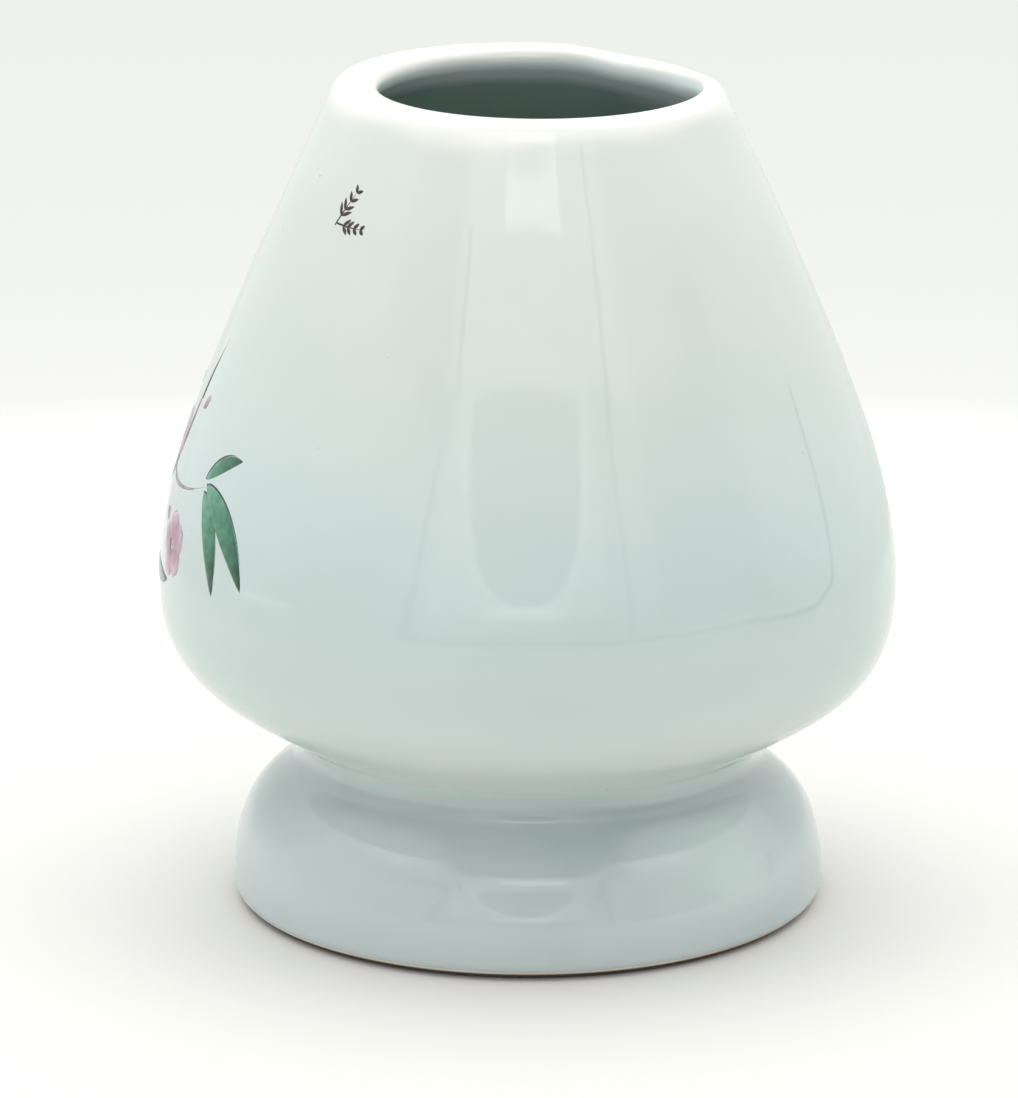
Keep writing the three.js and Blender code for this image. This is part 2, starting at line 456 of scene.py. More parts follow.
def celadon_glaze():
    """Glossy tinted glass over white clay, coloured by the depth of the glaze."""
    material, tree = new_material("celadon_glazed_porcelain")
    place = add_node(tree, "TexCoord").outputs["Object"]
    depth, _ = made_uneven(tree, place, "glaze_depth_and_painted_light", CLOUD_SIZE, CLOUD_DEPTH)
    glaze_and_shade_colour = set_ramp(add_node(tree, "ValToRGB", [("Fac", depth)]), GLAZE_AND_SHADE_STOPS)
    cells = add_node(tree, "TexVoronoi", [("Vector", place), ("Scale", 1 / SPECK_SPACING)])
    speck = add_node(tree, "MapRange", [("Value", cells), ("From Min", SPECK_RADIUS / SPECK_SPACING),
                     ("From Max", 0.5 * SPECK_RADIUS / SPECK_SPACING)])
    chosen = add_node(tree, "SeparateColor", [("Color", cells.outputs["Color"])])
    strength = add_node(tree, "MapRange", [("Value", chosen), ("From Min", SPECK_PALEST),
                        ("From Max", 1.0), ("To Max", SPECK_DARKEST)])
    speck_mix = add_node(tree, "Math", [(0, speck), (1, strength)], operation="MULTIPLY")
    colour = add_node(tree, "Mix", [("Factor", speck_mix), ("A", glaze_and_shade_colour),
                      ("B", linear("#4a443c"))], data_type="RGBA").outputs["Result"]
    wave = add_node(tree, "TexNoise", [("Vector", place), ("Scale", 1 / WAVE_SIZE), ("Detail", 1.0)])
    return coated(material, colour, GLAZE_ROUGHNESS, GLAZE_IOR, wave, WAVE_HEIGHT)


GLAZE = celadon_glaze()

# %% [markdown]
# ## Bare porcelain biscuit
#
# The ring that the pot stands on was wiped clean of glaze, or it would have fused to the kiln shelf. Bare fired
# porcelain is dry, faintly warm and matt, with a grain that a finger can feel, so it has a high roughness and a fine
# bump. Its lowest edge, where it rubs on the table and curves under into the gap, is darker: partly browned by tea
# and handling, and partly a painted contact shadow.

# %% Make the biscuit
BISCUIT_GRAIN = 0.25 * MM
BISCUIT_BUMP = 0.02 * MM
BISCUIT_ROUGHNESS = 0.78
BISCUIT_IOR = 1.5
SHADED_AND_SOILED_BELOW, UNDARKENED_ABOVE = 0.45 * MM, 0.65 * MM


def bare_biscuit():
    """Matt unglazed porcelain with a fine grain and a few kiln stains."""
    material, tree = new_material("unglazed_porcelain_biscuit")
    place = add_node(tree, "TexCoord").outputs["Object"]
    stain = add_node(tree, "TexNoise", [("Vector", place), ("Scale", 1 / CLOUD_SIZE), ("Detail", 4.0)])
    clean = set_ramp(add_node(tree, "ValToRGB", [("Fac", stain)]),
                     [(0.35, "#ece5d8"), (0.55, "#e0d7c6"), (0.75, "#cdbea6")])
    height = add_node(tree, "SeparateXYZ", [("Vector", place)]).outputs["Z"]
    # Darker below a height: partly brown soiling, partly a painted contact shadow under the toe.
    soil_and_contact_shade = add_node(tree, "MapRange", [("Value", height), ("From Min", UNDARKENED_ABOVE),
                       ("From Max", SHADED_AND_SOILED_BELOW)], interpolation_type="SMOOTHSTEP")
    colour = add_node(tree, "Mix", [("Factor", soil_and_contact_shade), ("A", clean), ("B", linear("#4f4538"))],
                      data_type="RGBA").outputs["Result"]
    grain = add_node(tree, "TexNoise", [("Vector", place), ("Scale", 1 / BISCUIT_GRAIN), ("Detail", 2.0)])
    return coated(material, colour, BISCUIT_ROUGHNESS, BISCUIT_IOR, grain, BISCUIT_BUMP)


BISCUIT = bare_biscuit()

# %% [markdown]
# ## The bulb
#
# The bulb could be a cylinder pulled about with modifiers, but a turned outline is how it was really made, and it
# gives a clean wall inside and out. The depth of its glaze is worked out from the height, with painted light and
# shade folded in: thin on the crest of the lip, whose wavy lower edge is partly a painted highlight, a little deeper
# down the wall, painted lighter on the underside as light from the floor, gathered in the groove of the waist, most
# at the front and the back and partly as painted shade, and deepest in the cavity, which is painted shade that
# reaches further down the right inner wall as painted light from the left.

# %% Turn the bulb
# The inside value is the painted shade of the cavity, and the pool value is partly painted shade in the groove.
TOP_DEPTH, BELLY_DEPTH, POOL_AND_SHADE_DEPTH, INSIDE_SHADE_DEPTH = 0.27, 0.57, 0.82, 1.0
LIP_THIN = 2.7 * MM
INSIDE_THIN = 1.5 * MM
RIGHT_THIN_SHARE = 0.8
CREST_SHARE = 0.2
# Waves in the lower edge of the white lip, which partly paint in a highlight.
LIP_EDGE_AND_HIGHLIGHT_WAVES = [(3, 0.16, 0.8), (7, 0.12, 2.1)]
# How far down from the lip the painted shade of the cavity reaches, and how it is stretched on the right inner wall,
# as painted light from the left.
INSIDE_SHADE_REACH = 2.9 * MM
RIGHT_SHADE_STRETCH = 0.65
INSIDE_SHADE_POWER, RIGHT_SHADE_POWER_DROP = 2, 1.45
DEEPEST_HEIGHT = 22 * MM
# Painted light from the floor, which makes the underside lighter.
UNDERSIDE_PAINTED_LIGHT = 0.18
GROOVE_REACH = 3.4 * MM
GROOVE_CORE = 0.25
GROOVE_SAG = 1.3 * MM
SIDE_SHRINK = 0.25
SIDE_ZONE = (0.1, 0.6)


def glaze_depth_and_painted_light(points, inside=False, extra=0.0):
    """How deep the glaze lies at each point, from 0, almost none, to 1, the painted shade deep in the cavity, with
    painted light and shade folded in.
    """
    x, y, z = points.T
    r, turn = np.hypot(x, y), np.arctan2(y, x)
    wall = TOP_DEPTH + (BELLY_DEPTH - TOP_DEPTH) * (1 - ease(z, DEEPEST_HEIGHT, TOP_HEIGHT)) + extra
    # The underside is painted lighter, as light from the floor.
    wall = wall - UNDERSIDE_PAINTED_LIGHT * (1 - ease(z, SEAM_TOP + GROOVE_REACH, BELLY_HEIGHT))
    # The groove of the waist: partly pooled glaze, partly painted shade under the belly, most at the front and the
    # back.
    groove_middle = (SEAM_BOTTOM + SEAM_TOP) / 2 - GROOVE_SAG
    reach = GROOVE_REACH * (1 - SIDE_SHRINK * ease(np.abs(np.cos(turn)), *SIDE_ZONE))
    pool = 1 - ease(np.hypot(r - SEAT_RADIUS, z - groove_middle), GROOVE_CORE * reach, reach)
    wall = wall + (POOL_AND_SHADE_DEPTH - wall) * pool
    # Inside, the depth is the painted shade of the cavity, darkening down from the lip and spread further down the
    # right inner wall as painted light.
    to_right = np.maximum(np.cos(turn), 0)
    shade_reach = INSIDE_SHADE_REACH * (1 + RIGHT_SHADE_STRETCH * to_right ** 2)
    inside_shade = np.clip((TOP_HEIGHT - z) / shade_reach, 0, 1) ** (INSIDE_SHADE_POWER - RIGHT_SHADE_POWER_DROP * to_right)
    wall = np.where(inside, TOP_DEPTH + (INSIDE_SHADE_DEPTH - TOP_DEPTH) * inside_shade, wall)
    # The lower edge of the white lip is wavy: partly thin glaze, partly a painted highlight.
    wavy_edge_and_highlight = 1 + sum(size * np.sin(count * turn + start) for count, size, start in LIP_EDGE_AND_HIGHLIGHT_WAVES)
    thin = np.where(inside, INSIDE_THIN * (1 - RIGHT_THIN_SHARE * to_right), LIP_THIN) * wavy_edge_and_highlight
    return wall * ease(TOP_HEIGHT - z, CREST_SHARE * thin, thin)


points, faces, index_of = turned(BULB_OUTLINE, closed=False)
bulb = mesh_object("glazed_bulb", by_hand(points), faces, GLAZE)
share_round(bulb, points)
give_attribute(bulb, "glaze_depth_and_painted_light", glaze_depth_and_painted_light(points, inside=index_of > CREST_INDEX))
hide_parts("upper_body")
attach(bulb, "root")
print("bulb:", len(points), "points")

# %% [markdown]
# ## The luted waist
#
# Slip squeezed between the two seats was smoothed with a wet finger, and glaze later ran into the groove and pooled
# there. It is a narrow ring, hollowed outside and beaded inside.

# %% Turn the ring at the waist
def seam_outline():
    """The closed outline of the slip ring."""
    middle = (SEAM_BOTTOM + SEAM_TOP) / 2
    half = (SEAM_TOP - SEAM_BOTTOM) / 2
    groove = swept((SEAT_RADIUS, SEAM_BOTTOM), along(math.pi - FOOT_SLOPE, GROOVE_PULL),
                   (SEAT_RADIUS, SEAM_TOP), along(math.pi + UNDERSIDE_SLOPE, GROOVE_PULL), 12)
    bead = rounded((SEAT_INNER_RADIUS, middle), SLIP_BEAD, half, 0.5 * math.pi, 1.5 * math.pi, 12)
    return np.concatenate([pooled(groove), bead])


points, faces, _ = turned(seam_outline(), closed=True)
seam = mesh_object("luted_waist_ring", by_hand(points), faces, GLAZE)
share_round(seam, points)
give_attribute(seam, "glaze_depth_and_painted_light", glaze_depth_and_painted_light(points))
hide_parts("luting_seam")
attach(seam, "root")
print("waist ring:", len(points), "points")

# %% [markdown]
# ## The foot
#
# The foot spreads from the waist to a rounded toe. Its glaze stops half a millimetre above the table in a small
# rolled edge, and the ring below is bare biscuit. Here the roll is real geometry: the outline steps out from the bare
# clay by the thickness of the glaze. The biscuit is a second material on the faces below that step. The foot's glaze
# is set deeper than the bulb's, the more so high on its slope, partly as thicker glaze and partly as painted shade
# under the overhanging bulb. Its flanks are painted lighter towards the left and, more so, towards the right, as
# painted light, and the far left turns a little darker again.

# %% Turn the foot
GLAZE_LINE = 0.85 * MM
GLAZE_THICKNESS = 0.16 * MM
TOE_SOFT = 0.3 * MM
# Deeper glaze on the foot, more high on its slope: partly thicker glaze, partly painted shade under the bulb.
FOOT_GLAZE_AND_SHADE, SLOPE_GLAZE_AND_SHADE = 0.38, 0.06
SLOPE_ZONE = (5 * MM, 9 * MM)
# Painted light on the flanks of the foot: lighter towards the left, more towards the right, and a little darker at
# the far left.
LEFT_PAINTED_LIGHT, RIGHT_PAINTED_LIGHT = 0.08, 0.27
LEFT_ZONE, LEFT_DROP = (0.2, 0.5, 0.65, 0.95), 1.4
RIGHT_ZONE = (0.25, 0.7, 0.72, 0.95)
RIGHT_CLIMB = (2 * MM, 7 * MM)


def foot_outline():
    """The closed outline of the foot, and how many of its first points lie on bare clay."""
    toe_centre = np.array([STANDING_OUTER, TOE_ROUND])
    line_angle = -math.asin((TOE_ROUND - GLAZE_LINE) / TOE_ROUND)
    bare_end = toe_centre + along(line_angle, TOE_ROUND - GLAZE_THICKNESS)
    standing = np.array([(STANDING_INNER, 0.0), (STANDING_OUTER - TOE_SOFT, 0.0)])
    bare = swept(standing[-1], (2 * TOE_SOFT, 0), bare_end, (-0.3 * TOE_SOFT, -2 * TOE_SOFT), 10)
    roll_centre = bare_end + along(line_angle, GLAZE_THICKNESS / 2)
    roll = rounded(roll_centre, GLAZE_THICKNESS / 2, GLAZE_THICKNESS / 2, line_angle - math.pi, line_angle, 8)
    toe = rounded(toe_centre, TOE_ROUND, TOE_ROUND, line_angle, 0, 14)
    wall = pooled(top_of_foot(60))
    heel_top = (STANDING_INNER - HEEL_ROUND, HEEL_ROUND)
    hollow_climb = SEAM_BOTTOM - HEEL_ROUND
    hollow = swept(heel_top, (0, HOLLOW_SHARES["heel"] * hollow_climb), (SEAT_INNER_RADIUS, SEAM_BOTTOM),
                   along(-HOLLOW_SLOPE, HOLLOW_SHARES["seat"] * hollow_climb), 30)[::-1]
    heel = rounded((STANDING_INNER, HEEL_ROUND), HEEL_ROUND, HEEL_ROUND, math.pi, 1.5 * math.pi, 6)[:-1]
    outline = joined(standing, bare, roll, toe, wall, np.array([wall[-1], hollow[0]]), hollow, heel)
    return outline, len(standing) + len(bare) - 1, len(heel)


outline, bare_count, heel_count = foot_outline()
points, faces, index_of = turned(outline, closed=True)
foot = mesh_object("glazed_foot", by_hand(points), faces, GLAZE)
foot.data.materials.append(BISCUIT)
on_bare = (index_of < bare_count) | (index_of >= len(outline) - heel_count)
for polygon in foot.data.polygons:
    polygon.material_index = 1 if on_bare[list(polygon.vertices)].all() else 0
share_round(foot, points)
# Painted light and shade on the foot: lighter flanks, and a darker upper slope that is partly painted shade under the
# bulb.
to_side = points[:, 0] / np.hypot(points[:, 0], points[:, 1])
left_painted_light = LEFT_PAINTED_LIGHT * hump(-to_side, LEFT_ZONE, LEFT_DROP)
right_painted_light = RIGHT_PAINTED_LIGHT * hump(to_side, RIGHT_ZONE) * ease(points[:, 2], *RIGHT_CLIMB)
foot_glaze_and_light = FOOT_GLAZE_AND_SHADE + (SLOPE_GLAZE_AND_SHADE - left_painted_light) * ease(points[:, 2], *SLOPE_ZONE) - right_painted_light
give_attribute(foot, "glaze_depth_and_painted_light", glaze_depth_and_painted_light(points, extra=foot_glaze_and_light))
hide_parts("pedestal_foot")
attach(foot, "root")
print("foot:", len(points), "points, of which", int(on_bare.sum()), "on bare clay")

# %% [markdown]
# ## Places on the bulb for a brush
#
# The painter works on the curved wall, so a brush mark is laid out in millimetres along the wall: u goes round to the
# right and v goes up the slope, both from an anchor point. The helper carries such a place onto the turned surface,
# raises it along the surface's own direction and gives it the same push by hand as the bulb.

# %% Carry a place onto the wall
OUTER_CLIMB = np.concatenate([[0], np.cumsum(np.hypot(*np.diff(OUTER_FACE, axis=0).T))])
SLOPE_SPAN = 0.05 * MM


def on_wall_of_bulb(anchor, places, lift):
    """Points on the bulb for (u, v) places about an anchor (turn from the front, height), raised by lift."""
    turn, height = anchor
    start = np.interp(height, OUTER_FACE[:, 1], OUTER_CLIMB)
    climb = start + places[:, 1]
    near, (r, z), far = (np.array([np.interp(c, OUTER_CLIMB, OUTER_FACE[:, k]) for k in (0, 1)])
                         for c in (climb - SLOPE_SPAN, climb, climb + SLOPE_SPAN))
    rise_r, rise_z = far - near
    size = np.hypot(rise_r, rise_z)
    angle = turn + places[:, 0] / np.interp(start, OUTER_CLIMB, OUTER_FACE[:, 0]) - math.pi / 2
    r, z = r + lift * rise_z / size, z - lift * rise_r / size
    return by_hand(np.stack([r * np.cos(angle), r * np.sin(angle), z], axis=1))


# %% [markdown]
# ## Brush marks
#
# Overglaze enamel is ground coloured glass, laid on the fired glaze with a brush and melted on in a cooler kiln. It
# stands up as a thin cushion about a tenth of a millimetre high, and you can feel it. A flat decal would miss that,
# so every mark is a small closed mesh: a domed top over a spine, wide in the middle and drawn out at the ends, with
# its underside just inside the glaze. Along each mark a number called shade runs from 0 to 1, as the brush empties.

# %% Brush helpers
ENAMEL_HEIGHT = 0.08 * MM
ENAMEL_SINK = 0.03 * MM
BRUSH_COLUMNS = 8
THINNEST = 0.015
FULL_HALF_WIDTH = 0.25 * MM


def left_of(spine):
    """The unit direction to the left of a spine at each of its points."""
    run = np.gradient(spine, axis=0)
    return np.stack([-run[:, 1], run[:, 0]], axis=1) / np.linalg.norm(run, axis=1)[:, None]


class Painting:
    """Brush marks of one colour, gathered into one mesh."""

    def __init__(self, anchor):
        self.anchor = anchor
        self.points, self.faces, self.shades = [], [], []

    def mark(self, spine, half_widths, raised=1.0, shade=(0.0, 1.0)):
        """Adds one domed mark along a spine of (u, v) places in millimetres."""
        spine = np.asarray(spine, float) * MM
        half = np.maximum(np.asarray(half_widths, float), THINNEST) * MM
        across = np.cos(np.linspace(0, math.pi, BRUSH_COLUMNS + 1))
        places = (spine[:, None] + left_of(spine)[:, None] * (half[:, None] * across)[..., None]).reshape(-1, 2)
        dome = np.sqrt(np.maximum(1 - across ** 2, 0))[None] * np.minimum(half / FULL_HALF_WIDTH, 1)[:, None]
        top = on_wall_of_bulb(self.anchor, places, ENAMEL_HEIGHT * raised * dome.ravel() - 0.2 * ENAMEL_SINK)
        base = on_wall_of_bulb(self.anchor, places, np.full(len(places), -ENAMEL_SINK))
        first, rows, columns = sum(len(p) for p in self.points), len(spine), BRUSH_COLUMNS + 1
        below = first + rows * columns
        for i in range(rows - 1):
            for j in range(columns - 1):
                a, b = i * columns + j, i * columns + j + 1
                c, d = b + columns, a + columns
                self.faces += [[first + a, first + b, first + c, first + d],
                               [below + d, below + c, below + b, below + a]]
        rim = ([i * columns for i in range(rows)] + [(rows - 1) * columns + j for j in range(1, columns)]
               + [i * columns + columns - 1 for i in range(rows - 2, -1, -1)] + list(range(columns - 2, 0, -1)))
        for a, b in zip(rim, rim[1:] + rim[:1]):
            self.faces.append([first + a, first + b, below + b, below + a])
        self.points += [top, base]
        t = np.linspace(*shade, rows)
        self.shades += [np.repeat(t, columns)] * 2

    def piece(self, name, material):
        """The finished mesh, riding with the pot."""
        painted = mesh_object(name, np.concatenate(self.points), self.faces, material)
        mesh = bmesh.new()
        mesh.from_mesh(painted.data)
        bmesh.ops.recalc_face_normals(mesh, faces=mesh.faces)
        mesh.to_mesh(painted.data)
        mesh.free()
        give_attribute(painted, "shade", np.concatenate(self.shades))
        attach(painted, "root")
        print(name, "has", len(self.faces), "faces")


def bent(start, middle, end, steps=20):
    """A smooth spine that starts and ends at two places and is pulled towards a third."""
    t = np.linspace(0, 1, steps + 1)[:, None]
    start, middle, end = (np.array(p, float) for p in (start, middle, end))
    return (1 - t) ** 2 * start + 2 * (1 - t) * t * middle + t ** 2 * end


def leaf_widths(width, steps=20, fullest=0.45, blunt=0.75):
    """Half widths of a leaf or petal that is fullest at a share of its length."""
    t = np.linspace(0, 1, steps + 1)
    power = math.log(0.5) / math.log(fullest)
    return width / 2 * np.sin(math.pi * t ** power) ** blunt


def line_widths(width, steps=20, tail=0.25):
    """Half widths of a line that starts full and is drawn out at its tail."""
    t = np.linspace(0, 1, steps + 1)
    return width / 2 * (0.35 + 0.65 * np.sin(math.pi * np.minimum(t + 0.15, 1)) ** 0.5) * (1 - (1 - tail) * t)


# %% [markdown]
# ## Enamel colours
#
# Copper gives the green, gold and manganese the mauve, and iron with cobalt the near black. All are soft lead
# glasses with an IOR of about 1.6, a little less glossy than the glaze below. They are thin and uneven, so the
# colour of a mark runs from pale, where the brush was dry, to deep, where the wash gathered.

# %% Make the enamels
WASH_SIZE = 0.9 * MM
WASH_UNEVEN = 0.18
ENAMEL_BUMP = 0.02 * MM
ENAMEL_ROUGHNESS = 0.16
ENAMEL_IOR = 1.6


def enamel(name, stops):
    """Thin coloured glass whose colour follows the shade of the mark, unevenly."""
    material, tree = new_material(name)
    place = add_node(tree, "TexCoord").outputs["Object"]
    shade, wash = made_uneven(tree, place, "shade", WASH_SIZE, WASH_UNEVEN)
    colour = set_ramp(add_node(tree, "ValToRGB", [("Fac", shade)]), stops)
    return coated(material, colour, ENAMEL_ROUGHNESS, ENAMEL_IOR, wash, ENAMEL_BUMP)


GREEN_ENAMEL = enamel("copper_green_enamel", [(0.0, "#6da88a"), (0.45, "#3f8466"), (1.0, "#154a38")])
MAUVE_ENAMEL = enamel("mauve_enamel", [(0.0, "#cbb0bf"), (0.5, "#ad8198"), (1.0, "#855571")])
BLACK_ENAMEL = enamel("iron_black_enamel", [(0.0, "#57564f"), (0.5, "#2b2a2a"), (1.0, "#171616")])
GREY_ENAMEL = enamel("grey_wash_enamel", [(0.0, "#b3b1ad"), (0.5, "#7f7d7a"), (1.0, "#4d4b4a")])
SEPIA_ENAMEL = enamel("sepia_enamel", [(0.0, "#7b6a60"), (0.5, "#43332d"), (1.0, "#231815")])

# %% [markdown]
# ## Plum blossom and bamboo
#
# The left side carries a small painting in green, mauve and near black: a plum branch with open blossoms and buds,
# and a few bamboo leaves, an old pair of plants on tea wares. A dark line goes round part of each leaf and petal, as
# painters outline before they fill.

# %% Paint the left side
PAINTING = (math.radians(-72), 34 * MM)
EDGE_GAP = 0.06

green, mauve, black, grey = (Painting(PAINTING) for _ in range(4))

BAMBOO_LEAVES = [
    ((3.4, 3.6), (8.6, 1.8), (11.2, -3.4), 2.3),
    ((3.2, 3.0), (6.3, 0.4), (7.4, -4.6), 2.0),
    ((3.0, 4.0), (5.4, 6.2), (8.2, 6.6), 1.3),
    ((-9.5, -5.4), (-5.6, -6.4), (-2.0, -5.6), 1.5),
    ((-22.0, 9.0), (-25.5, 7.0), (-27.5, 2.6), 2.1),
    ((-21.6, 9.2), (-22.5, 5.6), (-22.0, 1.8), 1.7),
]


def bamboo_leaf(start, middle, end, width):
    """A green leaf with a dark midrib and a dark line along one edge."""
    spine, half = bent(start, middle, end), leaf_widths(width)
    green.mark(spine, half, shade=(0.1, 1.0))
    black.mark(spine + left_of(spine) * (half + EDGE_GAP)[:, None], line_widths(0.22), raised=1.1, shade=(1.0, 0.4))
    black.mark(spine[3:18], line_widths(0.12, 14), raised=1.25, shade=(0.6, 0.2))


for leaf in BAMBOO_LEAVES:
    bamboo_leaf(*leaf)

PETALS = 5
STAMENS = 7


def blossom(middle, size, turn):
    """Five mauve petals, edged in part, with dark stamens in the middle."""
    middle = np.array(middle, float)
    for k in range(PETALS):
        angle = turn + 2 * math.pi * k / PETALS
        out, side = along(angle, 1), along(angle + math.pi / 2, 1)
        tip = middle + out * size
        mauve.mark(bent(tip, middle + out * 0.6 * size, middle + out * 0.12 * size, 14),
                   leaf_widths(0.98 * size, 14, 0.42, 0.5), shade=(0.05, 0.85))
        edge = [tip + side * 0.34 * size - out * 0.18 * size, tip + out * 0.22 * size,
                tip - side * 0.34 * size - out * 0.18 * size]
        black.mark(bent(*edge, 12), line_widths(0.13, 12), raised=1.0, shade=(0.7, 0.1))
    for k in range(STAMENS):
        angle = turn + 0.3 + 2 * math.pi * k / STAMENS
        out = along(angle, 1)
        dot = middle + out * 0.42 * size
        black.mark(bent(dot - out * 0.16, dot, dot + out * 0.16, 6), leaf_widths(0.26, 6, 0.5, 0.5), raised=1.6,
                   shade=(0.9, 0.9))
        black.mark(bent(middle, middle + out * 0.2 * size, dot, 6), line_widths(0.07, 6), raised=1.3,
                   shade=(0.5, 0.5))


blossom((-1.4, -2.6), 2.7, 0.5)
blossom((-9.2, 4.8), 2.6, 1.1)
blossom((-16.5, -1.4), 2.4, 0.2)

BUDS = [((-3.2, 8.6), (-2.0, 9.8)), ((-12.6, 8.4), (-11.8, 9.8)), ((-20.0, 2.2), (-19.0, 3.6)),
        ((-5.2, -0.4), (-4.2, -1.2))]
for low, high in BUDS:
    mauve.mark(bent(low, (np.array(low) + high) / 2, high, 12), leaf_widths(1.0, 12, 0.5, 0.55), shade=(0.9, 0.2))
    black.mark(bent(low, np.array(low) * 0.7 + np.array(high) * 0.3, (np.array(low) + high) / 2, 6),
               line_widths(0.3, 6), raised=1.4)

BRANCHES = [
    ((-27.0, -6.5), (-18.0, -4.6), (-10.6, 1.0), 1.7),
    ((-10.9, 0.7), (-6.0, 3.6), (-5.0, 11.0), 1.15),
    ((-5.1, 9.0), (-4.6, 12.0), (-3.2, 14.6), 0.5),
    ((-8.0, 2.6), (-3.0, 1.2), (3.2, 3.4), 0.4),
    ((-14.6, -3.0), (-13.6, 3.0), (-12.4, 8.6), 0.55),
    ((-19.6, -4.6), (-20.6, -1.0), (-19.8, 2.6), 0.45),
    ((-18.2, -4.4), (-20.0, 2.0), (-21.8, 9.2), 0.5),
]
for start, middle, end, width in BRANCHES:
    spine, half = bent(start, middle, end, 26), line_widths(width, 26, 0.45)
    grey.mark(spine, half, shade=(0.75, 0.2))
    black.mark(spine - left_of(spine) * half[:, None], line_widths(0.2, 26), raised=1.1, shade=(1.0, 0.3))

green.piece("bamboo_leaves", GREEN_ENAMEL)
mauve.piece("plum_petals", MAUVE_ENAMEL)
grey.piece("plum_branch", GREY_ENAMEL)
black.piece("dark_outlines", BLACK_ENAMEL)

# %% [markdown]
# ## The sprig under the lip
#
# High on the left is a tiny sprig in sepia, four millimetres tall, made of a stem and quick pointed strokes.

# %% Paint the sprig
SPRIG = (math.radians(-46.5), 60.0 * MM)

sprig = Painting(SPRIG)
TWIGS = [((-1.5, -1.3), (-0.9, 0.3), (0.2, 2.4), 4, 1.2), ((-1.4, -1.1), (0.2, -1.3), (2.0, -1.2), 4, 0.95)]
for start, middle, end, pairs, reach in TWIGS:
    twig = bent(start, middle, end, 20)
    sprig.mark(twig, line_widths(0.2), shade=(0.9, 0.3))
    along_twig = np.gradient(twig, axis=0)
    for k in range(pairs):
        at = 5 + k * 15 // pairs
        lean = math.atan2(along_twig[at][1], along_twig[at][0])
        for hand in (-1, 1):
            out = lean + hand * math.radians(44)
            tip = twig[at] + along(out, reach * (1 - 0.13 * k))
            sprig.mark(bent(twig[at], (twig[at] + tip) / 2 + 0.12 * along_twig[at], tip, 10), leaf_widths(0.34, 10),
                       shade=(0.95, 0.35 + 0.1 * k))
sprig.piece("sepia_sprig", SEPIA_ENAMEL)

# %% [markdown]
# ## The stage
#
# The pot stands on a round of plain pale paper, whose edge fades into white ground. The camera stands about half a
# metre away, a little above it, and looks down by about 16 degrees through a long lens, which keeps the sides of the
# bulb nearly parallel.

# %% Floor and camera
PICTURE_WIDTH, PICTURE_HEIGHT = 1018, 1098
FOCAL_PIXELS = 7024.0
SENSOR = 36.0
CAMERA_DISTANCE = 550 * MM
CAMERA_HEIGHT = 183.75 * MM
CAMERA_PITCH = math.radians(15.724)
AXIS_PIXEL = 528.8
FLOOR_RADIUS = 156 * MM
FLOOR_FADE = 12 * MM

floor_material, tree = new_material("pale_paper_floor")
place = add_node(tree, "TexCoord").outputs["Object"]
from_axis = add_node(tree, "VectorMath", [(0, place)], operation="LENGTH").outputs["Value"]
far = add_node(tree, "MapRange", [("Value", from_axis), ("From Min", FLOOR_RADIUS - FLOOR_FADE),
               ("From Max", FLOOR_RADIUS + FLOOR_FADE)], interpolation_type="SMOOTHSTEP")
paper = add_node(tree, "BsdfDiffuse", [("Color", linear("#e6e4e1"))])
nothing = add_node(tree, "BsdfTransparent")
floor_mix = add_node(tree, "MixShader", [(0, far), (1, paper), (2, nothing)])
add_node(tree, "OutputMaterial", [("Surface", floor_mix)])
half = FLOOR_RADIUS + 2 * FLOOR_FADE
floor = mesh_object("paper_floor", [(-half, -half, 0), (half, -half, 0), (half, half, 0), (-half, half, 0)],
                    [(0, 1, 2, 3)], floor_material)

camera_data = bpy.data.cameras.new("camera")
camera_data.sensor_width = SENSOR
camera_data.lens = FOCAL_PIXELS * SENSOR / PICTURE_HEIGHT
camera_data.clip_start = 10 * MM
camera = bpy.data.objects.new("camera", camera_data)
bpy.context.scene.collection.objects.link(camera)
sideways = (AXIS_PIXEL - PICTURE_WIDTH / 2) / FOCAL_PIXELS * CAMERA_DISTANCE
camera.location = (-sideways, -CAMERA_DISTANCE, CAMERA_HEIGHT)
camera.rotation_euler = (math.pi / 2 - CAMERA_PITCH, 0, 0)
bpy.context.scene.camera = camera
print("lens %.1f mm" % camera_data.lens)

# %% [markdown]
# ## Light from a tent
#
# Small glossy things are photographed in a tent of white cloth, which lights them from all sides and shows in the
# glaze as a soft white room. The world is that tent, brighter overhead than at the sides, and it is the same for the
# camera, the shadows and the glaze.

# %% Tent cloth
SIDE_GLOW = 0.81
ROOF_GLOW = 2.5
ROOF_POWER = 3.0
LEFT_GAIN = 0.02
BACK_GAIN = 0.2

world = bpy.data.worlds.new("light_tent")
bpy.context.scene.world = world
world.use_nodes = True
tree = world.node_tree
tree.nodes.clear()
direction = add_node(tree, "TexCoord").outputs["Generated"]
toward = add_node(tree, "SeparateXYZ", [("Vector", direction)]).outputs
height = add_node(tree, "Math", [(0, toward["Z"]), (1, 0.0)], operation="MAXIMUM")
roof = add_node(tree, "Math", [(0, height), (1, ROOF_POWER)], operation="POWER")
cloth = add_node(tree, "Math", [(0, roof), (1, ROOF_GLOW - SIDE_GLOW), (2, SIDE_GLOW)], operation="MULTIPLY_ADD")
from_left = add_node(tree, "Math", [(0, toward["X"]), (1, -LEFT_GAIN), (2, cloth)], operation="MULTIPLY_ADD")
tent_glow = add_node(tree, "Math", [(0, toward["Y"]), (1, BACK_GAIN), (2, from_left)], operation="MULTIPLY_ADD")

